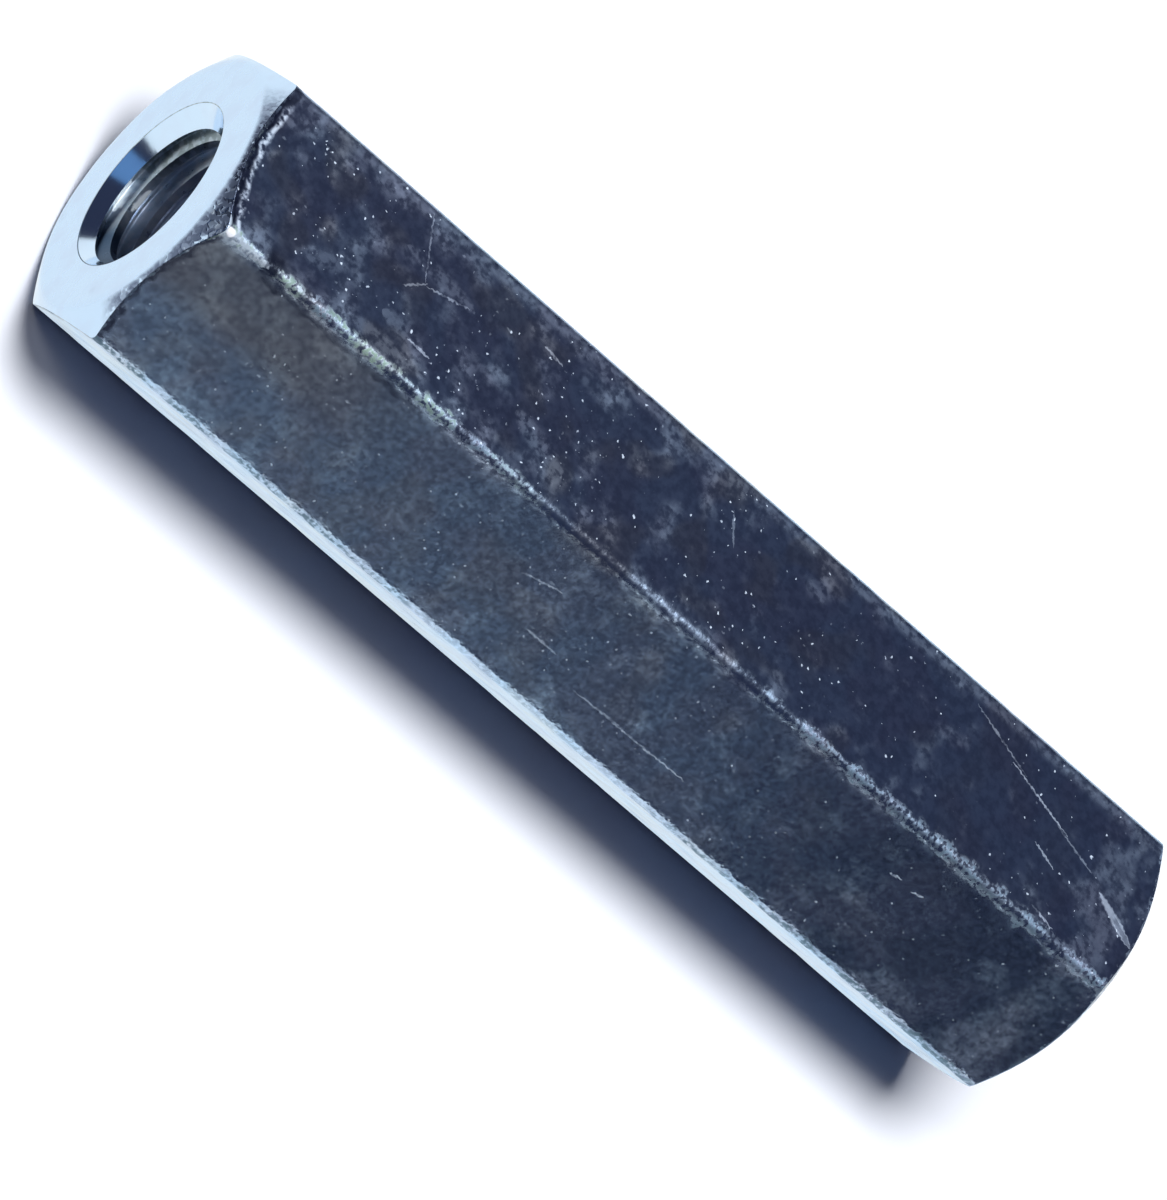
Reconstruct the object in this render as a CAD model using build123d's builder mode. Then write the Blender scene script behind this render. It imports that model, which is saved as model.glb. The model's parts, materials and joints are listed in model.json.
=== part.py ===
"""Coupling nut: one long hexagon nut, tapped right through, that joins two threaded rods end to end."""

import os
from math import radians, tan

from build123d import *

# Driving dimensions, in millimetres and degrees.
ACROSS_FLATS = 10.9  # spanner size of the drawn hexagon bar
BODY_LENGTH = 44.7  # from end face to end face
BAR_CORNER_RADIUS = 0.4  # rounding that the drawing die leaves on the six corners
END_FACE_DIA = 10.5  # flat ring that is left inside each turned chamfer
CHAMFER_ANGLE = 33  # slope of the end chamfers, from the plane of the end face
BORE_DIA = 5.5  # tapped bore, measured over the crests of its fine thread
MOUTH_DIA = 6.9  # countersink where it meets the end face
MOUTH_ANGLE = 90  # included angle of the countersinks

# Worked out from them. The bar lies along X, with its middle at the origin.
half_length = BODY_LENGTH / 2
bore_radius = BORE_DIA / 2
mouth_radius = MOUTH_DIA / 2
mouth_depth = (mouth_radius - bore_radius) / tan(radians(MOUTH_ANGLE / 2))
turned_radius = ACROSS_FLATS  # anything wider than the bar's corners
chamfer_depth = (turned_radius - END_FACE_DIA / 2) * tan(radians(CHAMFER_ANGLE))

with BuildPart() as coupling_nut:
    # Drawn hexagon bar: flats at the top and bottom, corners at each side.
    with BuildSketch(Plane.YZ.offset(-half_length)) as bar_section:
        RegularPolygon(radius=ACROSS_FLATS / 2, side_count=6, major_radius=False)
        fillet(bar_section.vertices(), radius=BAR_CORNER_RADIUS)
    extrude(amount=BODY_LENGTH)

    # Both ends are faced and chamfered on the lathe. The cone meets each flat in a shallow curve.
    with BuildSketch(Plane.XY) as turned_outline:
        with BuildLine():
            Polyline(
                (-half_length, 0),
                (-half_length, END_FACE_DIA / 2),
                (-half_length + chamfer_depth, turned_radius),
                (half_length - chamfer_depth, turned_radius),
                (half_length, END_FACE_DIA / 2),
                (half_length, 0),
                close=True,
            )
        make_face()
    revolve(axis=Axis.X, mode=Mode.INTERSECT)

    # Tapped bore, right through, with a countersunk mouth at each end for the rod's first turn.
    with BuildSketch(Plane.XY) as bore_outline:
        with BuildLine():
            Polyline(
                (-half_length, 0),
                (-half_length, mouth_radius),
                (-half_length + mouth_depth, bore_radius),
                (half_length - mouth_depth, bore_radius),
                (half_length, mouth_radius),
                (half_length, 0),
                close=True,
            )
        make_face()
    revolve(axis=Axis.X, mode=Mode.SUBTRACT)

coupling_nut.part.label = "coupling_nut"

os.makedirs("parts", exist_ok=True)
export_step(coupling_nut.part, "parts/coupling_nut.step")
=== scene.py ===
import json
import math

import bmesh
import bpy
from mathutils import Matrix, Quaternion, Vector, noise


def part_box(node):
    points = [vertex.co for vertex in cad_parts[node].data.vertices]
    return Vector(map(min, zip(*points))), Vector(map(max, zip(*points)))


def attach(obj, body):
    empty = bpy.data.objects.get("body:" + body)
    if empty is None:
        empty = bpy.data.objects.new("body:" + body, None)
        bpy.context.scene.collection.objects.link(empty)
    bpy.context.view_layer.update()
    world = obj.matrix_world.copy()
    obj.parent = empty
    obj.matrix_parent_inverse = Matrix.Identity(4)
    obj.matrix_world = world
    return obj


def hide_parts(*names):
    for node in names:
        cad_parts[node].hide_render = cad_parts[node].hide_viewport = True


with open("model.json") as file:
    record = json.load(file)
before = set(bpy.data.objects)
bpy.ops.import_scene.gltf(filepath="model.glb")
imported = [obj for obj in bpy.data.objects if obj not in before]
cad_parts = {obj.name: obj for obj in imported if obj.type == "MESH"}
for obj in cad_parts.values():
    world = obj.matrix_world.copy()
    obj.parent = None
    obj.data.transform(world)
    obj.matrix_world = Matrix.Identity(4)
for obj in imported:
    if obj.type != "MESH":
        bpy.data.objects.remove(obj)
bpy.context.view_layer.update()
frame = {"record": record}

# ---------------------------------------------------------------------------------------------
# The nut's blank. A length of drawn hexagon bar, faced and chamfered on the lathe at both ends,
# drilled right through and countersunk. The drawing die leaves its corners slightly rounded and
# its flats not quite flat, and knocks in the bin have dulled the corners.
# ---------------------------------------------------------------------------------------------
MM = 0.001
low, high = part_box("coupling_nut")
mounts = {mount["name"]: mount for mount in frame["record"]["mounts"]}

half_length = high[0]
across_flats = high[2] - low[2]
across_corners = high[1] - low[1]
sharp_corner = 1 / math.cos(math.radians(30))
corner_radius = (across_flats * sharp_corner - across_corners) / (2 * (sharp_corner - 1))
bore_radius = mounts["thread"]["dims"]["r_mm"] * MM
mouth_depth = half_length - mounts["thread"]["dims"]["length_mm"] * MM / 2
mouth_radius = bore_radius + mouth_depth  # the countersink's wall slopes at 45 degrees
end_face_radius = 5.25 * MM  # the flat ring left by the chamfer
CHAMFER_ANGLE = math.radians(33)
chamfer_slope = math.tan(CHAMFER_ANGLE)
BREAK_RADIUS = 0.05 * MM  # every turned edge is broken by the plating
ROLL_OFF = 0.3 * MM  # how far the end face runs on into the chamfer before it has its full slope
RIPPLE = 0.004 * MM  # how far the drawn surface is from flat
KNOCK_DEPTH = 0.03 * MM
CORNER_STEPS = 8
WALL_ROWS = 150


def hexagon_ring():
    """Points round the drawn bar's section, with how near each is to a corner, from 0 to 1."""
    corner_centre = (across_flats / 2 - corner_radius) * sharp_corner
    flat_shares = (0.012, 0.06, 0.14, 0.23, 0.32, 0.41, 0.5, 0.59, 0.68, 0.77, 0.86, 0.94, 0.988)
    edge_share = 0.05
    ring = []
    for corner in range(6):
        middle = math.radians(60 * corner)
        centre = Vector((math.cos(middle), math.sin(middle))) * corner_centre
        for step in range(CORNER_STEPS + 1):
            turn = middle + math.radians(60 * step / CORNER_STEPS - 30)
            ring.append((centre + Vector((math.cos(turn), math.sin(turn))) * corner_radius, 1.0))
        following = math.radians(60 * corner + 60)
        arc_end = ring[-1][0]
        side = math.radians(60 * corner + 30)
        next_centre = Vector((math.cos(following), math.sin(following))) * corner_centre
        arc_start = next_centre + Vector((math.cos(side), math.sin(side))) * corner_radius
        for share in flat_shares:
            near = max(0.0, 1 - min(share, 1 - share) / edge_share)
            ring.append((arc_end.lerp(arc_start, share), near))
    return ring


def broken(before, corner, after, radius, steps=3):
    """The corner of a section, replaced by a small arc with a holding point on each side."""
    to_before = (before - corner).normalized()
    to_after = (after - corner).normalized()
    half_turn = (math.pi - to_before.angle(to_after)) / 2
    run = radius * math.tan(half_turn)
    start, end = corner + to_before * run, corner + to_after * run
    centre = corner + (to_before + to_after).normalized() * (radius / math.cos(half_turn))
    arc = []
    for step in range(steps + 1):
        spoke = (start - centre).lerp(end - centre, step / steps).normalized()
        arc.append(centre + spoke * radius)
    hold = run * 0.3
    return [arc[0] + to_before * hold, *arc, arc[-1] + to_after * hold]


def end_section(radius):
    """Half of one end, as (depth from the end face, radius), from the bore out to the wall."""
    chamfer_depth = (radius - end_face_radius) * chamfer_slope
    bore = Vector((mouth_depth, bore_radius))
    rim = Vector((0, mouth_radius))
    circle = Vector((0, end_face_radius))
    shoulder = Vector((chamfer_depth, radius))
    wall = Vector((chamfer_depth + 1 * MM, radius))
    points = [bore, bore.lerp(rim, 0.5)]
    points += broken(bore, rim, circle, BREAK_RADIUS)
    points += [rim.lerp(circle, 0.35), rim.lerp(circle, 0.7)]
    roll_run = min(ROLL_OFF, 0.5 * (shoulder - circle).length)
    roll_radius = roll_run / math.tan(math.atan(chamfer_slope) / 2)
    points += broken(rim, circle, shoulder, roll_radius, steps=5)
    points += broken(circle, shoulder, wall, BREAK_RADIUS)
    return points


def bar_wear(place, near_corner):
    """How far the bar's surface lies under its true form at a place on the wall."""
    wave = 0.5 + 0.5 * noise.noise(Vector((place.x * 160, place.y * 260, place.z * 260)))
    knock = max(0.0, noise.noise(Vector((place.x * 900, place.y * 300, place.z * 300))) - 0.12)
    return RIPPLE * wave + KNOCK_DEPTH * knock * near_corner


def make_blank():
    """The blank's mesh: one closed column of points for each point of the bar's section."""
    mesh = bmesh.new()
    ring = hexagon_ring()
    columns = []
    for (y, z), near in ring:
        radius = math.hypot(y, z)
        spoke = Vector((0, y / radius, z / radius))
        section = end_section(radius)
        column = []
        for depth, out in section:
            column.append(spoke * out + Vector((depth - half_length, 0, 0)))
        start, end = column[-1].x, -column[-1].x
        for row in range(1, WALL_ROWS):
            place = spoke * radius
            place.x = start + (end - start) * row / WALL_ROWS
            place -= spoke * bar_wear(place, near)
            column.append(place)
        for depth, out in reversed(section):
            column.append(spoke * out + Vector((half_length - depth, 0, 0)))
        columns.append([mesh.verts.new(place) for place in column])
    for left, right in zip(columns, columns[1:] + columns[:1]):
        for row in range(len(left)):
            follow = (row + 1) % len(left)
            mesh.faces.new((left[row], left[follow], right[follow], right[row]))
    bmesh.ops.recalc_face_normals(mesh, faces=mesh.faces)
    data = bpy.data.meshes.new("nut")
    mesh.to_mesh(data)
    mesh.free()
    return data


nut = bpy.data.objects.new("nut", make_blank())
bpy.context.scene.collection.objects.link(nut)

# ---------------------------------------------------------------------------------------------
# The thread. It is cut with a tap from one end to the other: a right-hand 60 degree groove,
# 28 turns to the inch, that runs out in the countersink at each mouth.
# ---------------------------------------------------------------------------------------------
PITCH = 25.4 / 28 * MM
ROOT_RADIUS = 3.175 * MM
ROOT_ROUNDING = 0.045 * MM
START_ANGLE = math.radians(108)
STEPS_PER_TURN = 72


def add_input(tree, name, kind, value):
    socket = tree.interface.new_socket(name=name, in_out="INPUT", socket_type=kind)
    if value is not None:
        socket.default_value = value
    return socket.identifier


def link(tree, source, target):
    """Join a socket to an input, or set the input where a plain value is given."""
    if isinstance(source, (int, float, tuple)):
        target.default_value = source
    else:
        tree.links.new(source, target)


def maths(tree, operation, first, second=0.0):
    node = tree.nodes.new("ShaderNodeMath")
    node.operation = operation
    link(tree, first, node.inputs[0])
    link(tree, second, node.inputs[1])
    return node.outputs[0]


def thread_tree():
    """A tree that cuts a helical groove out of the mesh that it is given, along X."""
    tree = bpy.data.node_groups.new("tapped_thread", "GeometryNodeTree")
    tree.interface.new_socket(name="Geometry", in_out="OUTPUT", socket_type="NodeSocketGeometry")
    inputs = {"Blank": add_input(tree, "Blank", "NodeSocketGeometry", None)}
    for name in ("Pitch", "Length", "Crest radius", "Root radius", "Start angle"):
        inputs[name] = add_input(tree, name, "NodeSocketFloat", MM)
    inputs["Steps per turn"] = add_input(tree, "Steps per turn", "NodeSocketInt", STEPS_PER_TURN)
    inputs["Finish"] = add_input(tree, "Finish", "NodeSocketMaterial", None)
    given = tree.nodes.new("NodeGroupInput").outputs

    # The helix runs one pitch past each end.
    height = maths(tree, "ADD", given["Length"], maths(tree, "MULTIPLY", given["Pitch"], 2.0))
    turns = maths(tree, "DIVIDE", height, given["Pitch"])
    # The groove's section is a trapezoid that starts a little inside the bore.
    overlap = 0.13 * MM
    depth = maths(tree, "SUBTRACT", given["Root radius"], given["Crest radius"])
    section_height = maths(tree, "ADD", depth, overlap)
    root_width = maths(tree, "DIVIDE", given["Pitch"], 8.0)
    spread = maths(tree, "MULTIPLY", section_height, 2 * math.tan(math.radians(30)))
    mouth_width = maths(tree, "ADD", root_width, spread)
    middle = maths(tree, "SUBTRACT", given["Root radius"], maths(tree, "MULTIPLY", section_height, 0.5))

    helix = tree.nodes.new("GeometryNodeCurveSpiral")
    link(tree, given["Steps per turn"], helix.inputs["Resolution"])
    link(tree, turns, helix.inputs["Rotations"])
    link(tree, middle, helix.inputs["Start Radius"])
    link(tree, middle, helix.inputs["End Radius"])
    link(tree, height, helix.inputs["Height"])
    helix.inputs["Reverse"].default_value = True

    # The start angle clocks the groove round the bore.
    clock = tree.nodes.new("ShaderNodeCombineXYZ")
    link(tree, given["Start angle"], clock.inputs["Z"])
    clocked = tree.nodes.new("GeometryNodeTransform")
    link(tree, helix.outputs[0], clocked.inputs["Geometry"])
    link(tree, clock.outputs[0], clocked.inputs["Rotation"])

    upright = tree.nodes.new("GeometryNodeSetCurveNormal")
    upright.mode = "Z_UP"
    link(tree, clocked.outputs[0], upright.inputs["Curve"])

    section = tree.nodes.new("GeometryNodeCurvePrimitiveQuadrilateral")
    section.mode = "TRAPEZOID"
    link(tree, section_height, section.inputs["Height"])
    link(tree, mouth_width, section.inputs["Bottom Width"])
    link(tree, root_width, section.inputs["Top Width"])
    section.inputs["Offset"].default_value = 0

    rounded = tree.nodes.new("GeometryNodeFilletCurve")
    rounded.mode = "POLY"
    rounded.inputs["Count"].default_value = 2
    rounded.inputs["Radius"].default_value = ROOT_ROUNDING
    link(tree, section.outputs[0], rounded.inputs["Curve"])

    turned = tree.nodes.new("GeometryNodeTransform")
    turned.inputs["Rotation"].default_value = (0, 0, math.radians(-90))
    link(tree, rounded.outputs[0], turned.inputs["Geometry"])

    tap = tree.nodes.new("GeometryNodeCurveToMesh")
    tap.inputs["Fill Caps"].default_value = True
    link(tree, upright.outputs[0], tap.inputs["Curve"])
    link(tree, turned.outputs[0], tap.inputs["Profile Curve"])

    # The helix stands on Z, so it is laid along X, from one end to the other.
    start = tree.nodes.new("ShaderNodeCombineXYZ")
    link(tree, maths(tree, "MULTIPLY", height, -0.5), start.inputs["X"])
    lay = tree.nodes.new("GeometryNodeTransform")
    lay.inputs["Rotation"].default_value = (0, math.radians(90), 0)
    link(tree, tap.outputs[0], lay.inputs["Geometry"])
    link(tree, start.outputs[0], lay.inputs["Translation"])

    cut = tree.nodes.new("GeometryNodeMeshBoolean")
    cut.operation = "DIFFERENCE"
    cut.solver = "EXACT"
    link(tree, given["Blank"], cut.inputs["Mesh 1"])
    link(tree, lay.outputs[0], cut.inputs["Mesh 2"])

    real = tree.nodes.new("GeometryNodeRealizeInstances")
    link(tree, cut.outputs[0], real.inputs[0])
    finish = tree.nodes.new("GeometryNodeSetMaterial")
    link(tree, real.outputs[0], finish.inputs["Geometry"])
    link(tree, given["Finish"], finish.inputs["Material"])
    link(tree, finish.outputs[0], tree.nodes.new("NodeGroupOutput").inputs[0])
    return tree, inputs


# ---------------------------------------------------------------------------------------------
# The plating. Bright blue zinc covers the whole nut: dark as a mirror on the drawn flats, softer
# on the turned ends and duller down the bore. The corners and edges are rubbed and specked, and
# the flats carry pits, cloudy scuffs and a few scratches from other parts in the bin.
# Some colours are painted light: glints, reflections, shade and highlights, each named where it is
# made.
# ---------------------------------------------------------------------------------------------
ZINC = (0.64, 0.79, 0.99, 1)
PAINTED_REFLECTION_BLUE = (0.46, 0.70, 1.0, 1)
ZINC_VIOLET = (0.61, 0.70, 0.89, 1)
ZINC_BROWN = (0.74, 0.72, 0.68, 1)
ZINC_STRAW = (0.36, 0.50, 0.36, 1)
RUBBED = (0.16, 0.25, 0.32, 1)
WHITE_RUST_AND_HIGHLIGHT = (0.80, 0.91, 1.0, 1)
BROKEN = (0.55, 0.62, 0.68, 1)
DIRT_AND_SHADE = (0.10, 0.12, 0.20, 1)
BORE_BLUE = (0.62, 0.75, 0.88, 1)
BORE_PALE = (0.76, 0.84, 0.94, 1)
BORE_DEEP_SHADE = (0.62, 0.64, 0.78, 1)
PAINTED_BORE_DARK = (0.03, 0.07, 0.14, 1)
PAINTED_BORE_GREEN = (0.24, 0.29, 0.31, 1)
# a painted highlight, for two spots in the bore
PAINTED_HIGHLIGHT = (0.90, 0.98, 1.0, 1)
BARE_AND_GLINT_WHITE = (1.0, 1.0, 1.0, 1)
ZINC_GLANCING = (0.83, 0.92, 1.0, 1)  # tints what a flat mirrors when it is seen edge-on

# How rough each finish is where nothing has touched it.
DRAWN_ROUGH = 0.126
TURNED_ROUGH = 0.11
TAPPED_ROUGH = 0.22

# Where the wear lies and how wide it is, in millimetres from the nut's middle or from an edge.
FLAT_TOP = math.radians(90)  # the way each flat faces, round the nut's axis
FLAT_FRONT = math.radians(150)
CORNER_BAND = 0.18
SHOULDER_BAND = 0.12
DIRT_UNDER_CORNER = 0.45
DIRT_ACROSS_CORNER = -19.55
WORN_LINE = 0.36
DARK_BORDER = 0.36
FAR_RIM = 20.4
KNOCK_START = (-23.8, -3.18, 5.32)
KNOCK_END = (-19.6, -3.16, 5.34)
KNOCK_TIP = (-21.5, -3.12, 5.42)
KNOCK_WIDTH = 0.36
TIP_SIZE = 0.24
TOOL_FEED = 0.16  # between one ring of the lathe tool and the next


def new_group(name, inputs, outputs):
    """A shader node group, with its inputs' values and the kinds of its outputs."""
    tree = bpy.data.node_groups.new(name, "ShaderNodeTree")
    for label, value in inputs.items():
        kind = "NodeSocketVector" if isinstance(value, tuple) else "NodeSocketFloat"
        tree.interface.new_socket(name=label, in_out="INPUT", socket_type=kind).default_value = value
    for label, kind in outputs.items():
        tree.interface.new_socket(name=label, in_out="OUTPUT", socket_type=kind)
    return tree, tree.nodes.new("NodeGroupInput").outputs, tree.nodes.new("NodeGroupOutput").inputs


def use(tree, group, **values):
    """A group placed in a tree. An underscore in a keyword stands for a space in its input."""
    node = tree.nodes.new("ShaderNodeGroup")
    node.node_tree = group
    for label, value in values.items():
        link(tree, value, node.inputs[label.replace("_", " ")])
    return node.outputs


def vectors(tree, operation, first, second=(0.0, 0.0, 0.0), scale=1.0):
    node = tree.nodes.new("ShaderNodeVectorMath")
    node.operation = operation
    link(tree, first, node.inputs[0])
    if operation == "SCALE":
        link(tree, scale, node.inputs["Scale"])
    elif operation != "LENGTH":
        link(tree, second, node.inputs[1])
    gives_number = operation in ("DOT_PRODUCT", "LENGTH", "DISTANCE")
    return node.outputs["Value" if gives_number else "Vector"]


def split(tree, place):
    """The X, Y and Z of a place."""
    axes = tree.nodes.new("ShaderNodeSeparateXYZ")
    link(tree, place, axes.inputs[0])
    return axes.outputs


def product(tree, *values):
    result = values[0]
    for value in values[1:]:
        result = maths(tree, "MULTIPLY", result, value)
    return result


def total(tree, *values):
    result = values[0]
    for value in values[1:]:
        result = maths(tree, "ADD", result, value)
    return result


def most(tree, *masks):
    result = masks[0]
    for mask in masks[1:]:
        result = maths(tree, "MAXIMUM", result, mask)
    return result


def without(tree, mask, share=1.0):
    """What is left of 1 where a mask takes its share away."""
    return maths(tree, "SUBTRACT", 1.0, product(tree, mask, share))


def away(tree, value, middle):
    """How far a value is from its middle, on either side."""
    return maths(tree, "ABSOLUTE", maths(tree, "SUBTRACT", value, middle))


def ramp(tree, value, start, end, low=0.0, high=1.0):
    """A smooth step from low, where value is start, to high, where it is end."""
    node = tree.nodes.new("ShaderNodeMapRange")
    node.interpolation_type = "SMOOTHSTEP"
    numbers = {"Value": value, "From Min": start, "From Max": end, "To Min": low, "To Max": high}
    for label, number in numbers.items():
        link(tree, number, node.inputs[label])
    return node.outputs["Result"]


def blend(tree, share, first, second):
    node = tree.nodes.new("ShaderNodeMix")
    node.data_type = "RGBA"
    sockets = {socket.identifier: socket for socket in node.inputs}
    link(tree, share, sockets["Factor_Float"])
    link(tree, first, sockets["A_Color"])
    link(tree, second, sockets["B_Color"])
    return {socket.identifier: socket for socket in node.outputs}["Result_Color"]


def grain(tree, place, per_mm, detail=2.0, output="Fac"):
    node = tree.nodes.new("ShaderNodeTexNoise")
    link(tree, place, node.inputs["Vector"])
    link(tree, per_mm, node.inputs["Scale"])
    link(tree, detail, node.inputs["Detail"])
    return node.outputs[output]


def shifted(tree, place, per_mm, reach):
    """The place moved a little at random, so that what is laid out on it comes out uneven."""
    shift = vectors(tree, "SUBTRACT", grain(tree, place, per_mm, 0.0, "Color"), (0.5, 0.5, 0.5))
    return vectors(tree, "ADD", place, vectors(tree, "SCALE", shift, scale=reach))


def section_place_group():
    """Where a point lies on the nut, in millimetres."""
    inputs = {"Object place": (0.0, 0.0, 0.0), "Half length": 1.0, "Across flats": 1.0,
              "Face radius": 1.0, "Chamfer slope": 1.0}
    number = "NodeSocketFloat"
    outputs = {"Place": "NodeSocketVector", "From end": number, "Out": number, "To corner": number,
               "Past shoulder": number}
    tree, given, result = new_group("section_place", inputs, outputs)
    place = vectors(tree, "SCALE", given["Object place"], scale=1 / MM)
    x, y, z = split(tree, place)
    out = vectors(tree, "LENGTH", vectors(tree, "MULTIPLY", place, (0.0, 1.0, 1.0)))
    from_end = maths(tree, "SUBTRACT", given["Half length"], maths(tree, "ABSOLUTE", x))
    # The angle from the middle of the nearest flat runs from 0 to 30 degrees. The full turn that
    # is added keeps it above zero.
    angle = maths(tree, "ADD", maths(tree, "ARCTAN2", z, y), math.radians(360 + 30))
    angle = maths(tree, "PINGPONG", angle, math.radians(30))
    half_side = product(tree, given["Across flats"], math.tan(math.radians(30)) / 2)
    along_flat = product(tree, out, maths(tree, "SINE", angle))
    chamfer = maths(tree, "SUBTRACT", out, given["Face radius"])
    chamfer = product(tree, chamfer, given["Chamfer slope"])
    link(tree, place, result["Place"])
    link(tree, from_end, result["From end"])
    link(tree, out, result["Out"])
    link(tree, maths(tree, "SUBTRACT", half_side, along_flat), result["To corner"])
    link(tree, maths(tree, "SUBTRACT", from_end, chamfer), result["Past shoulder"])
    return tree


def flat_place_group():
    """Where a point lies on one flat, along and across, and whether it is on that flat."""
    inputs = {"Place": (0.0, 0.0, 0.0), "Facing": 0.0, "Across flats": 1.0}
    outputs = {"Flat place": "NodeSocketVector", "On flat": "NodeSocketFloat"}
    tree, given, result = new_group("flat_place", inputs, outputs)
    cosine = maths(tree, "COSINE", given["Facing"])
    sine = maths(tree, "SINE", given["Facing"])
    outward = tree.nodes.new("ShaderNodeCombineXYZ")
    link(tree, cosine, outward.inputs["Y"])
    link(tree, sine, outward.inputs["Z"])
    across = tree.nodes.new("ShaderNodeCombineXYZ")
    link(tree, product(tree, sine, -1.0), across.inputs["Y"])
    link(tree, cosine, across.inputs["Z"])
    flat = tree.nodes.new("ShaderNodeCombineXYZ")
    link(tree, split(tree, given["Place"])["X"], flat.inputs["X"])
    link(tree, vectors(tree, "DOT_PRODUCT", given["Place"], across.outputs[0]), flat.inputs["Y"])
    height = vectors(tree, "DOT_PRODUCT", given["Place"], outward.outputs[0])
    below = maths(tree, "SUBTRACT", product(tree, given["Across flats"], 0.5), height)
    link(tree, flat.outputs[0], result["Flat place"])
    link(tree, ramp(tree, below, 0.15, 0.06), result["On flat"])
    return tree


def specks_group():
    """Small round spots of uneven size, scattered at random."""
    inputs = {"Place": (0.0, 0.0, 0.0), "Per mm": 1.0, "Size": 0.1, "Share": 0.5}
    tree, given, result = new_group("specks", inputs, {"Mask": "NodeSocketFloat"})
    cells = tree.nodes.new("ShaderNodeTexVoronoi")
    link(tree, given["Place"], cells.inputs["Vector"])
    link(tree, given["Per mm"], cells.inputs["Scale"])
    chance = tree.nodes.new("ShaderNodeSeparateColor")
    link(tree, cells.outputs["Color"], chance.inputs[0])
    chosen, size, strength = chance.outputs
    reach = product(tree, given["Size"], given["Per mm"], total(tree, size, 0.4))
    speck = ramp(tree, cells.outputs["Distance"], reach, product(tree, reach, 0.4))
    chosen = maths(tree, "LESS_THAN", chosen, given["Share"])
    strength = total(tree, product(tree, strength, strength, 0.85), 0.15)
    link(tree, product(tree, speck, chosen, strength), result["Mask"])
    return tree


def scratch_group():
    """One scratch from Start to End, widest in its middle."""
    inputs = {"Place": (0.0, 0.0, 0.0), "Start": (0.0, 0.0, 0.0), "End": (1.0, 0.0, 0.0),
              "Width": 0.1, "Strength": 1.0}
    tree, given, result = new_group("scratch", inputs, {"Mask": "NodeSocketFloat"})
    whole = vectors(tree, "SUBTRACT", given["End"], given["Start"])
    gone = vectors(tree, "SUBTRACT", given["Place"], given["Start"])
    share = maths(tree, "DIVIDE", vectors(tree, "DOT_PRODUCT", gone, whole),
                  vectors(tree, "DOT_PRODUCT", whole, whole))
    share.node.use_clamp = True
    off = vectors(tree, "DISTANCE", gone, vectors(tree, "SCALE", whole, scale=share))
    taper = product(tree, share, without(tree, share), 4.0)
    reach = product(tree, given["Width"], maths(tree, "SQRT", taper))
    mask = ramp(tree, off, reach, product(tree, reach, 0.3), 0.0, given["Strength"])
    link(tree, mask, result["Mask"])
    return tree


def edge_wear_group():
    """A band along an edge, full at the edge and gone at Width. Uneven makes it ragged."""
    inputs = {"To edge": 0.0, "Width": 0.3, "Uneven": 0.0}
    tree, given, result = new_group("edge_wear", inputs, {"Band": "NodeSocketFloat"})
    ragged = product(tree, given["Uneven"], total(tree, given["Width"], 0.1), 1.6)
    gap = total(tree, given["To edge"], ragged)
    band = ramp(tree, gap, given["Width"], product(tree, given["Width"], 0.5))
    link(tree, band, result["Band"])
    return tree


section_place = section_place_group()
flat_place = flat_place_group()
specks = specks_group()
scratch = scratch_group()
edge_wear = edge_wear_group()


def marks(tree, flat, lines):
    """Marks, each as (from, to, width, strength), laid out along the nut and across a flat."""
    masks = []
    for start, end, width, strength in lines:
        mark = use(tree, scratch, Place=flat, Start=(*start, 0.0), End=(*end, 0.0), Width=width,
                   Strength=strength)
        masks.append(mark["Mask"])
    return most(tree, *masks)


def new_finish(name):
    """A material with its shader and where each point lies on the nut."""
    material = bpy.data.materials.new(name)
    material.use_nodes = True
    tree = material.node_tree
    shader = tree.nodes["Principled BSDF"].inputs
    shader["Metallic"].default_value = 1
    object_place = tree.nodes.new("ShaderNodeTexCoord").outputs["Object"]
    at = use(tree, section_place, Object_place=object_place, Half_length=half_length / MM,
             Across_flats=across_flats / MM, Face_radius=end_face_radius / MM,
             Chamfer_slope=chamfer_slope)
    return material, tree, shader, at


def set_bump(tree, shader, height, distance):
    bump = tree.nodes.new("ShaderNodeBump")
    link(tree, height, bump.inputs["Height"])
    link(tree, distance * MM, bump.inputs["Distance"])
    link(tree, bump.outputs[0], shader["Normal"])


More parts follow.
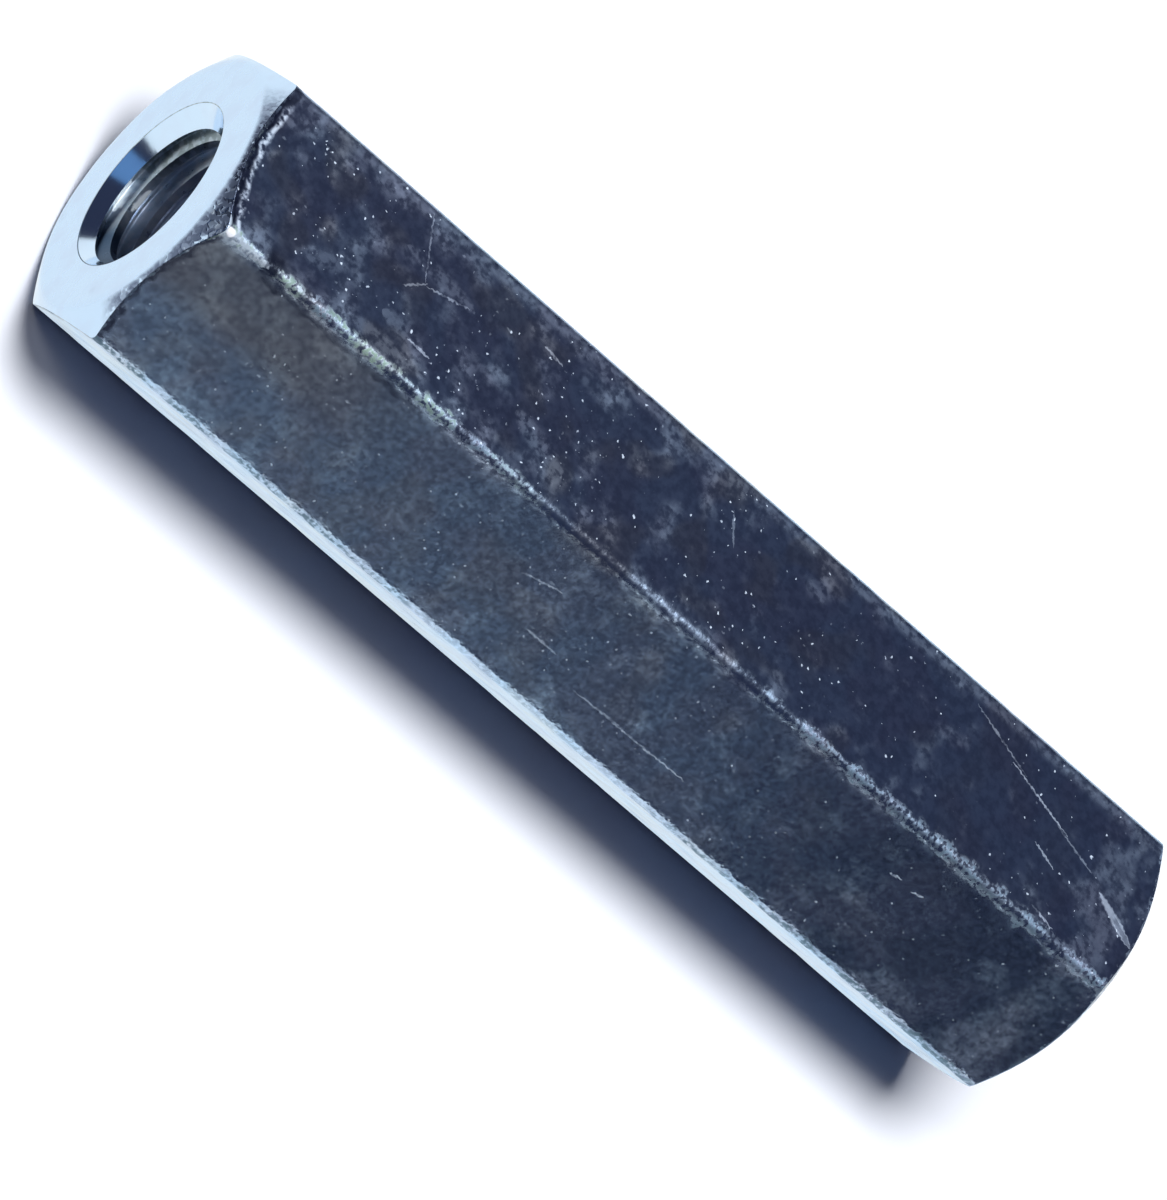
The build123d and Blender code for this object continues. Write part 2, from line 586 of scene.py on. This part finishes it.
def drawn_finish():
    """The six flats and their corners, straight from the drawing die."""
    material, tree, shader, at = new_finish("drawn_zinc")
    place = at["Place"]
    to_corner = at["To corner"]
    past_shoulder = at["Past shoulder"]
    along, across, up = split(tree, place)
    near = ramp(tree, along, 16.0, -18.0)
    near_end = ramp(tree, along, -10.0, -14.0)
    far = ramp(tree, along, 2.0, 16.0)
    front = ramp(tree, across, 1.0, -1.0)
    upper = ramp(tree, up, 2.0, 4.0)
    lower = ramp(tree, up, 0.1, -0.3)
    top_flat = ramp(tree, up, 5.3, 5.4)
    front_flat = product(tree, ramp(tree, across, -3.2, -3.5), ramp(tree, up, -0.2, 0.2))

    # The plating's grain, from the finest to the broadest.
    uneven = shifted(tree, place, 8.0, 0.12)
    granule = ramp(tree, grain(tree, place, 6.5, 1.0), 0.38, 0.6)
    fine = grain(tree, place, 3.4, 2.0)
    coarse = ramp(tree, fine, 0.38, 0.6)
    ragged = maths(tree, "SUBTRACT", grain(tree, uneven, 1.8, 1.0), 0.5)
    field = grain(tree, place, 0.75, 3.0)
    broad = tree.nodes.new("ShaderNodeSeparateColor")
    link(tree, grain(tree, place, 0.45, 1.0, "Color"), broad.inputs[0])
    violet = ramp(tree, broad.outputs["Red"], 0.42, 0.6)
    brown = product(tree, ramp(tree, broad.outputs["Green"], 0.5, 0.62), without(tree, far, 0.7))
    clusters = ramp(tree, broad.outputs["Blue"], 0.44, 0.6)

    # The band along each corner is rubbed, widest on the upper front one and toward its far end.
    # Handling has left it bright on some stretches and dull on others.
    handled = total(tree, 0.2, product(tree, front, 0.8))
    width = total(tree, CORNER_BAND, product(tree, upper, 0.16),
                  ramp(tree, along, 6.0, 18.0, 0.0, 0.1))
    band = use(tree, edge_wear, To_edge=to_corner, Width=width, Uneven=ragged)["Band"]
    shoulder = use(tree, edge_wear, To_edge=past_shoulder, Width=SHOULDER_BAND, Uneven=ragged)["Band"]
    rubbed = most(tree, product(tree, band, handled), product(tree, shoulder, 0.6))
    stretches = most(tree, ramp(tree, along, -4.0, -9.0), ramp(tree, along, 0.0, 8.0), 0.3)
    rubbed = product(tree, rubbed, total(tree, 0.1, product(tree, granule, 0.9)), stretches,
                     ramp(tree, field, 0.36, 0.56, 0.4, 1.0))

    # Dirt lines the underside of that corner near its near end, and breaks it once.
    under = total(tree, to_corner, product(tree, ragged, 0.5))
    under = ramp(tree, away(tree, under, DIRT_UNDER_CORNER), 0.22, 0.06)
    under = product(tree, under, ramp(tree, along, -11.0, -14.0), ramp(tree, along, -20.2, -19.4),
                    front_flat, upper, 0.8)
    gap = product(tree, ramp(tree, away(tree, along, DIRT_ACROSS_CORNER), 0.4, 0.2),
                  ramp(tree, to_corner, 0.7, 0.4), upper, front)
    rubbed = product(tree, rubbed, without(tree, gap, 0.7))

    # The near end's chamfer has left a worn line on the top, a little way in, and a dark ragged
    # border on the front.
    line = total(tree, past_shoulder, product(tree, ragged, 0.3))
    line = ramp(tree, away(tree, line, WORN_LINE), 0.2, 0.02)
    line = product(tree, line, near_end, top_flat, ramp(tree, across, 2.6, 1.8),
                   ramp(tree, fine, 0.36, 0.6, 0.0, 0.8))
    border = use(tree, edge_wear, To_edge=past_shoulder, Width=DARK_BORDER, Uneven=ragged)["Band"]
    border = product(tree, border, near_end, total(tree, 0.55, product(tree, coarse, 0.4)))

    # Cloudy scuffs thicken toward the corners and toward the near end. The back corner has a
    # dull rim, and so has the far end.
    by_corner = product(tree, ramp(tree, to_corner, 1.5, 0.3, 0.0, 0.05), total(tree, 1.0, near))
    cloud = total(tree, field, by_corner, product(tree, near, 0.06))
    scuffs = product(tree, ramp(tree, cloud, 0.50, 0.82), ramp(tree, fine, 0.3, 0.62, 0.3, 1.0),
                     without(tree, product(tree, front_flat, near), 0.6))
    back_rim = product(tree, ramp(tree, to_corner, 0.75, 0.4), without(tree, handled))
    wavy = total(tree, along, product(tree, maths(tree, "SUBTRACT", field, 0.5), 5.0))
    far_rim = ramp(tree, away(tree, wavy, FAR_RIM), 1.5, 0.0)
    haze = product(tree, most(tree, back_rim, product(tree, far_rim, 0.8)),
                   ramp(tree, fine, 0.25, 0.6, 0.4, 1.0))

    # White pits and specks lie in clusters, more of them near the near end. They are fainter on the
    # front. They are partly pits in the plating and partly painted glints from its grain.
    share = product(tree, clusters, total(tree, 0.4, near), 0.5)
    share = total(tree, 0.09, share, product(tree, rubbed, 0.25),
                  product(tree, most(tree, far_rim, front_flat), 0.25))
    small = use(tree, specks, Place=uneven, Per_mm=4.4, Size=0.05, Share=share)["Mask"]
    drawn_out = vectors(tree, "MULTIPLY", uneven, (0.5, 1.0, 1.0))
    large = use(tree, specks, Place=drawn_out, Per_mm=1.5, Size=0.06, Share=share)["Mask"]
    pits_and_glints = product(tree, most(tree, small, large), without(tree, front_flat, 0.45))

    # Scratches from other parts in the bin, on the top and on the front.
    top = use(tree, flat_place, Place=uneven, Facing=FLAT_TOP, Across_flats=across_flats / MM)
    side = use(tree, flat_place, Place=uneven, Facing=FLAT_FRONT, Across_flats=across_flats / MM)
    top_scratches = marks(tree, top["Flat place"], [
        ((12.4, -2.4), (15.4, -1.45), 0.06, 0.3), ((14.6, -1.55), (17.9, -0.65), 0.06, 0.48),
        ((17.3, -0.75), (19.4, -0.15), 0.06, 0.25), ((16.7, 0.38), (17.9, 0.78), 0.06, 0.4),
        ((17.6, 2.48), (18.8, 2.74), 0.06, 0.4), ((-9.0, -1.78), (-8.1, -1.62), 0.08, 0.3),
        ((0.3, -1.8), (0.9, -0.6), 0.06, 0.2), ((-13.9, 1.7), (-12.8, 1.76), 0.08, 0.4),
        ((-15.0, -2.9), (-14.2, -0.5), 0.06, 0.25), ((-14.1, -0.4), (-12.2, -0.85), 0.06, 0.3),
        ((-14.9, 0.2), (-14.1, -0.5), 0.06, 0.25), ((-21.66, 3.02), (-21.84, 2.6), 0.12, 0.6),
        ((-18.5, 3.06), (-18.16, 3.04), 0.12, 0.9),
    ])
    side_scratches = marks(tree, side["Flat place"], [
        ((-5.0, -0.66), (-3.4, -1.06), 0.06, 0.35), ((-3.2, 0.84), (-1.7, 0.86), 0.07, 0.3),
        ((-0.2, 1.48), (2.1, 1.36), 0.06, 0.3), ((1.6, 1.44), (5.2, 1.34), 0.06, 0.35),
        ((12.9, -1.1), (13.4, -1.2), 0.07, 0.5), ((14.0, -1.1), (14.5, -1.2), 0.07, 0.5),
    ])
    scratched = most(tree, product(tree, top_scratches, top["On flat"]),
                     product(tree, side_scratches, side["On flat"]))
    scratched = product(tree, scratched, ramp(tree, fine, 0.3, 0.5, 0.3, 1.0))

    # Broad dull smudges on the top, and a gouge at its far end with a pale rim.
    smudged = marks(tree, top["Flat place"], [
        ((-9.0, 1.0), (-6.2, 1.9), 0.62, 0.7), ((-16.2, 2.5), (-13.6, 2.5), 0.5, 0.6),
        ((-18.6, 1.9), (-16.8, 0.8), 0.6, 0.5), ((19.4, 2.9), (20.8, 2.2), 0.6, 0.7),
        ((19.6, -1.6), (20.9, 0.2), 0.6, 0.6), ((-15.4, -1.2), (-12.0, -0.9), 0.5, 0.6),
        ((-15.2, 1.5), (-13.2, 1.7), 0.6, 0.6),
    ])
    smudged = product(tree, smudged, top["On flat"], ramp(tree, fine, 0.3, 0.55, 0.2, 1.0))
    gouge = marks(tree, top["Flat place"], [((20.0, 0.24), (22.05, 1.18), 0.22, 1.0)])
    gouge = product(tree, gouge, top["On flat"], ramp(tree, along, 20.3, 21.4, 0.4, 1.0))
    gouge_rim = product(tree, gouge, without(tree, gouge), 4.0)

    # A knock has broken the near tip of the upper front corner. Its tip is painted white, partly
    # bare plating and partly a painted glint.
    knock = use(tree, scratch, Place=uneven, Start=KNOCK_START, End=KNOCK_END, Width=KNOCK_WIDTH,
                Strength=1.0)["Mask"]
    knock = product(tree, knock, ramp(tree, fine, 0.34, 0.5, 0.35, 1.0),
                    total(tree, 0.55, product(tree, granule, 0.45)))
    tip = ramp(tree, vectors(tree, "DISTANCE", uneven, KNOCK_TIP), TIP_SIZE, TIP_SIZE / 2)

    # Colour: the plating's tints and some painted light, then the dirt, then what is rubbed, pitted and
    # broken.
    stain = product(tree, ramp(tree, along, -10.0, -17.0), ramp(tree, up, 2.0, 3.4), front_flat, 0.6)
    varied = without(tree, front_flat, 0.5)
    # Painted reflection: the front flat is painted darker and bluer.
    colour = blend(tree, product(tree, front_flat, 0.5), ZINC, PAINTED_REFLECTION_BLUE)
    # Painted shade: the front flat darkens toward its far end.
    colour = blend(tree, product(tree, front_flat, far, 0.5), colour, DIRT_AND_SHADE)
    # Painted reflection: the lower side is painted bluer toward the far end.
    colour = blend(tree, product(tree, lower, ramp(tree, along, 4.0, 18.0)), colour, PAINTED_REFLECTION_BLUE)
    colour = blend(tree, product(tree, violet, varied), colour, ZINC_VIOLET)
    colour = blend(tree, most(tree, product(tree, brown, varied, 0.4), stain), colour, ZINC_BROWN)
    granular = product(tree, granule, front_flat, ramp(tree, along, -20.0, -8.0, 0.06, 0.2))
    mottle = total(tree, ramp(tree, fine, 0.3, 0.66, 0.24, 0.0), granular)
    chips = product(tree, band, without(tree, coarse), without(tree, upper),
                    ramp(tree, along, 2.0, 14.0, 0.3, 0.8))
    colour = blend(tree, most(tree, mottle, chips), colour, DIRT_AND_SHADE)
    colour = blend(tree, most(tree, under, border, product(tree, gap, 0.7)), colour, DIRT_AND_SHADE)
    straw = product(tree, near, near, near, upper, without(tree, violet))
    worn = blend(tree, straw, RUBBED, ZINC_STRAW)
    colour = blend(tree, product(tree, rubbed, 0.8), colour, worn)
    pale = most(tree, pits_and_glints, scratched, product(tree, gouge, 0.22), product(tree, gouge_rim, 0.4), line)
    colour = blend(tree, pale, colour, WHITE_RUST_AND_HIGHLIGHT)
    colour = blend(tree, knock, colour, BROKEN)
    colour = blend(tree, tip, colour, BARE_AND_GLINT_WHITE)
    link(tree, colour, shader["Base Color"])
    shader["Specular Tint"].default_value = ZINC_GLANCING

    # The front is the cleanest flat, so it is the smoothest. What is pale is no longer bare metal.
    clean = without(tree, product(tree, front_flat, ramp(tree, along, 0.0, 14.0, 0.1, 0.15)))
    texture = maths(tree, "SUBTRACT", 0.06, product(tree, front_flat, 0.03))
    roughness = total(tree, DRAWN_ROUGH, product(tree, fine, texture),
                      product(tree, front_flat, 0.015))
    roughness = product(tree, total(tree, roughness, product(tree, near, 0.034)), clean)
    beyond = product(tree, ramp(tree, along, -12.0, 0.0), without(tree, front_flat))
    dulled = product(tree, most(tree, scuffs, haze, smudged), clean, clean, clean, clean)
    dull = most(tree, pale, product(tree, knock, 0.6), tip)
    roughness = total(tree, roughness, product(tree, beyond, 0.011), product(tree, dulled, 0.17),
                      product(tree, rubbed, 0.4), product(tree, dull, 0.3))
    link(tree, roughness, shader["Roughness"])
    link(tree, without(tree, dull, 0.75), shader["Metallic"])

    # The drawn surface ripples a little, and its corners are dented.
    dents = product(tree, ramp(tree, to_corner, 0.5, 0.15), handled, 5.0,
                    maths(tree, "SUBTRACT", fine, 0.5))
    ripple = product(tree, fine, maths(tree, "SUBTRACT", 0.6, product(tree, front_flat, 0.3)))
    set_bump(tree, shader, total(tree, ripple, dents), 0.004)
    return material


def turned_finish():
    """The end faces, their chamfers and the countersinks, straight from the lathe."""
    material, tree, shader, at = new_finish("turned_zinc")
    place = at["Place"]
    across, up = split(tree, place)[1:]
    uneven = shifted(tree, place, 5.0, 0.16)
    fine = grain(tree, place, 1.2, 2.0)
    granule = ramp(tree, grain(tree, uneven, 4.5, 1.0), 0.4, 0.58)
    chamfer = ramp(tree, at["Out"], 5.2, 5.4)
    mouth = ramp(tree, at["Out"], 3.5, 3.4)
    face = without(tree, most(tree, chamfer, mouth))
    stains = use(tree, specks, Place=uneven, Per_mm=1.1, Size=0.22, Share=0.3)["Mask"]

    # Grime lies in the chamfer over the top and the upper front corner, and follows the front's
    # shoulder in a thin ragged line, with a bright speck here and there.
    soiled = product(tree, ramp(tree, up, 0.4, 1.6), ramp(tree, across, 3.2, 1.2), chamfer)
    to_shoulder = product(tree, at["Past shoulder"], -1.0)
    ragged = maths(tree, "SUBTRACT", grain(tree, uneven, 1.8, 1.0), 0.5)
    grime = use(tree, edge_wear, To_edge=to_shoulder, Width=ramp(tree, up, 4.0, 5.0, 0.2, 0.5),
                Uneven=product(tree, ragged, 3.0))["Band"]
    grime = product(tree, grime, soiled)
    bright = use(tree, specks, Place=uneven, Per_mm=3.6, Size=0.09, Share=0.4)["Mask"]
    bright = product(tree, bright, grime)

    colour = blend(tree, ramp(tree, fine, 0.42, 0.7, 0.0, 0.4), ZINC, ZINC_VIOLET)
    colour = blend(tree, product(tree, stains, face, 0.14), colour, DIRT_AND_SHADE)
    # Painted highlight: the countersink is painted paler, toward white.
    colour = blend(tree, product(tree, mouth, 0.25), colour, WHITE_RUST_AND_HIGHLIGHT)
    colour = blend(tree, product(tree, soiled, granule, 0.55), colour, DIRT_AND_SHADE)
    colour = blend(tree, product(tree, grime, 0.75), colour, DIRT_AND_SHADE)
    colour = blend(tree, bright, colour, WHITE_RUST_AND_HIGHLIGHT)
    link(tree, colour, shader["Base Color"])
    link(tree, without(tree, bright, 0.7), shader["Metallic"])

    roughness = total(tree, TURNED_ROUGH, product(tree, face, 0.14),
                      product(tree, soiled, granule, 0.2), product(tree, fine, 0.05))
    link(tree, roughness, shader["Roughness"])
    tool_marks = maths(tree, "SINE", product(tree, at["Out"], 2 * math.pi / TOOL_FEED))
    height = total(tree, product(tree, tool_marks, face, 0.06), fine,
                   product(tree, granule, soiled, 2.0))
    set_bump(tree, shader, height, 0.003)
    return material


def tapped_finish():
    """The thread and the bore, duller the deeper they lie and darker there with painted shade."""
    material, tree, shader, at = new_finish("tapped_zinc")
    place = at["Place"]
    across, up = split(tree, place)[1:]
    fine = grain(tree, place, 2.6, 2.0)
    granule = ramp(tree, grain(tree, place, 4.5, 1.0), 0.4, 0.58, 0.5, 0.9)

    # On the first turn the colour is painted nearly black toward the front and greyish green toward
    # the back. Both are painted reflections of what the thread mirrors there.
    first_turn = ramp(tree, at["From end"], 1.8, 1.1)
    painted_dark = product(tree, ramp(tree, across, 0.7, -0.9, 0.0, 0.95), first_turn)
    painted_green = product(tree, first_turn, granule, ramp(tree, across, 1.2, 2.4, 0.25, 1.0),
                    without(tree, painted_dark))

    # Two pale spots on the first crests, low in the near mouth, are painted highlights.
    from_above = vectors(tree, "MULTIPLY", shifted(tree, place, 6.0, 0.12), (1.0, 1.0, 0.0))
    painted_highlights = marks(tree, from_above, [
        ((-21.63, 0.3), (-21.74, 1.6), 0.22, 1.0), ((-21.22, 0.5), (-21.06, 1.45), 0.19, 1.0),
    ])
    painted_highlights = product(tree, painted_highlights, ramp(tree, up, -1.4, -1.9))

    colour = blend(tree, ramp(tree, fine, 0.4, 0.62), BORE_BLUE, BORE_PALE)
    # Painted shade: the colour darkens deeper into the bore.
    colour = blend(tree, ramp(tree, at["From end"], 0.4, 4.5), colour, BORE_DEEP_SHADE)
    colour = blend(tree, painted_dark, colour, PAINTED_BORE_DARK)
    colour = blend(tree, painted_green, colour, PAINTED_BORE_GREEN)
    colour = blend(tree, painted_highlights, colour, PAINTED_HIGHLIGHT)
    link(tree, colour, shader["Base Color"])
    link(tree, without(tree, painted_highlights, 0.7), shader["Metallic"])
    link(tree, total(tree, TAPPED_ROUGH, product(tree, fine, 0.16)), shader["Roughness"])
    set_bump(tree, shader, fine, 0.006)
    return material


drawn_zinc = drawn_finish()
turned_zinc = turned_finish()
tapped_zinc = tapped_finish()


def cut_thread(piece):
    """Run the tap through the blank, and keep what is left as a plain mesh."""
    tree, inputs = thread_tree()
    tapping = piece.modifiers.new("tapped_thread", "NODES")
    tapping.node_group = tree
    tapping[inputs["Pitch"]] = PITCH
    tapping[inputs["Length"]] = 2 * half_length
    tapping[inputs["Crest radius"]] = bore_radius
    tapping[inputs["Root radius"]] = ROOT_RADIUS
    tapping[inputs["Steps per turn"]] = STEPS_PER_TURN
    tapping[inputs["Start angle"]] = START_ANGLE
    tapping[inputs["Finish"]] = tapped_zinc
    graph = bpy.context.evaluated_depsgraph_get()
    data = bpy.data.meshes.new_from_object(piece.evaluated_get(graph), depsgraph=graph)
    piece.modifiers.remove(tapping)
    piece.data = data
    mesh = bmesh.new()
    mesh.from_mesh(data)
    bmesh.ops.remove_doubles(mesh, verts=mesh.verts, dist=0.0002 * MM)
    mesh.to_mesh(data)
    mesh.free()
    data.shade_smooth()
    data.set_sharp_from_angle(angle=math.radians(24))


def give_finishes(piece):
    """The drawn finish on the flats, the turned one on the ends and the tapped one in the bore."""
    data = piece.data
    data.materials.clear()
    for finish in (drawn_zinc, turned_zinc, tapped_zinc):
        data.materials.append(finish)
    drawn, turned, tapped = range(3)
    slack = 0.03 * MM
    for face in data.polygons:
        x, y, z = face.center
        out = math.hypot(y, z)
        lean = abs(face.normal.x)
        in_bore = out < mouth_radius + slack and face.normal.y * y + face.normal.z * z < 0
        if in_bore:
            on_cone = abs(half_length - abs(x) + out - mouth_radius) < slack
            at_45_degrees = abs(lean - 0.7) < 0.06
            face.material_index = turned if on_cone and at_45_degrees else tapped
        else:
            face.material_index = turned if lean > 0.25 else drawn


cut_thread(nut)
give_finishes(nut)
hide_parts("coupling_nut")
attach(nut, "root")

# ---------------------------------------------------------------------------------------------
# The floor. A large sheet of white paper, matt and bare, that takes the nut's soft shadow.
# ---------------------------------------------------------------------------------------------
REACH = 30.0
WHITE = (1.0, 1.0, 1.0, 1)
MIRRORED_WHITE = (0.95, 1.0, 1.0, 1)
BOUNCED = (0.28, 0.31, 0.38, 1)  # how much light the paper throws back up onto the nut

floor_mesh = bpy.data.meshes.new("floor")
floor_corners = [(-REACH, -REACH), (REACH, -REACH), (REACH, REACH), (-REACH, REACH)]
floor_mesh.from_pydata([(x, y, low[2]) for x, y in floor_corners], [], [(0, 1, 2, 3)])
floor = bpy.data.objects.new("floor", floor_mesh)
bpy.context.scene.collection.objects.link(floor)

paper = bpy.data.materials.new("white_paper")
paper.use_nodes = True
paper_tree = paper.node_tree
matt = paper_tree.nodes["Principled BSDF"]
matt.inputs["Roughness"].default_value = 1
matt.inputs["Specular IOR Level"].default_value = 0
rays = paper_tree.nodes.new("ShaderNodeLightPath").outputs
seen = maths(paper_tree, "ADD", rays["Is Camera Ray"], rays["Is Transmission Ray"])
seen = maths(paper_tree, "MINIMUM", seen, 1.0)
link(paper_tree, blend(paper_tree, seen, BOUNCED, WHITE), matt.inputs["Base Color"])
# The polished metal mirrors the paper as plain white.
plain_white = paper_tree.nodes.new("ShaderNodeEmission")
plain_white.inputs["Color"].default_value = MIRRORED_WHITE
direct = maths(paper_tree, "LESS_THAN", rays["Diffuse Depth"], 0.5)
mirrored = paper_tree.nodes.new("ShaderNodeMixShader")
link(paper_tree, product(paper_tree, rays["Is Glossy Ray"], direct), mirrored.inputs["Fac"])
link(paper_tree, matt.outputs[0], mirrored.inputs[1])
link(paper_tree, plain_white.outputs[0], mirrored.inputs[2])
link(paper_tree, mirrored.outputs[0], paper_tree.nodes["Material Output"].inputs["Surface"])
floor_mesh.materials.append(paper)

# ---------------------------------------------------------------------------------------------
# The light. One broad soft lamp almost overhead, a small blue window low beyond the near end and
# a small lamp above it, in a dim bluish room.
# ---------------------------------------------------------------------------------------------
LAMP_DISTANCE = 0.6
ROOM = (0.029, 0.036, 0.067, 1)


def hang_lamp(name, kind, energy, toward):
    """A lamp that shines on the nut from a direction."""
    light = bpy.data.lights.new(name, kind)
    light.energy = energy
    lamp = bpy.data.objects.new(name, light)
    lamp.location = toward * LAMP_DISTANCE
    lamp.rotation_mode = "QUATERNION"
    lamp.rotation_quaternion = toward.to_track_quat("Z", "Y")
    bpy.context.scene.collection.objects.link(lamp)
    return light


overhead = hang_lamp("overhead", "SUN", energy=3.3, toward=Vector((-0.14, -0.02, 0.99)))
overhead.color = (0.96, 0.99, 1.06)
overhead.angle = math.radians(28.5)

window = hang_lamp("window", "AREA", energy=0.058, toward=Vector((-0.93, -0.2, 0.31)))
window.shape = "RECTANGLE"
window.size = 0.28
window.size_y = 0.16
window.color = (0.25, 0.55, 1.0)

small_lamp = hang_lamp("small_lamp", "AREA", energy=0.26, toward=Vector((-0.55, -0.2, 0.81)))
small_lamp.size = 0.10

room = bpy.data.worlds.new("studio")
room.use_nodes = True
room.node_tree.nodes["Background"].inputs["Color"].default_value = ROOM
bpy.context.scene.world = room

# ---------------------------------------------------------------------------------------------
# The camera. It looks down along the nut from its near end, and is rolled on its side.
# ---------------------------------------------------------------------------------------------
AZIMUTH = math.radians(-39.062)
ELEVATION = math.radians(48.396)
ROLL = math.radians(71.989)
AIM = Vector((-0.145, -0.871, -0.682)) * MM
CAMERA_DISTANCE = 381.77 * MM

toward_camera = Vector((math.sin(AZIMUTH) * math.cos(ELEVATION),
                        -math.cos(AZIMUTH) * math.cos(ELEVATION), math.sin(ELEVATION)))
camera = bpy.data.objects.new("camera", bpy.data.cameras.new("camera"))
camera.data.lens = 332.8
camera.data.sensor_width = 36
camera.data.clip_start = 0.01
camera.data.clip_end = 100
camera.location = AIM + toward_camera * CAMERA_DISTANCE
camera.rotation_mode = "QUATERNION"
camera.rotation_quaternion = toward_camera.to_track_quat("Z", "Y") @ Quaternion((0, 0, 1), ROLL)
bpy.context.scene.collection.objects.link(camera)
bpy.context.scene.camera = camera
bpy.context.scene.view_settings.view_transform = "Standard"
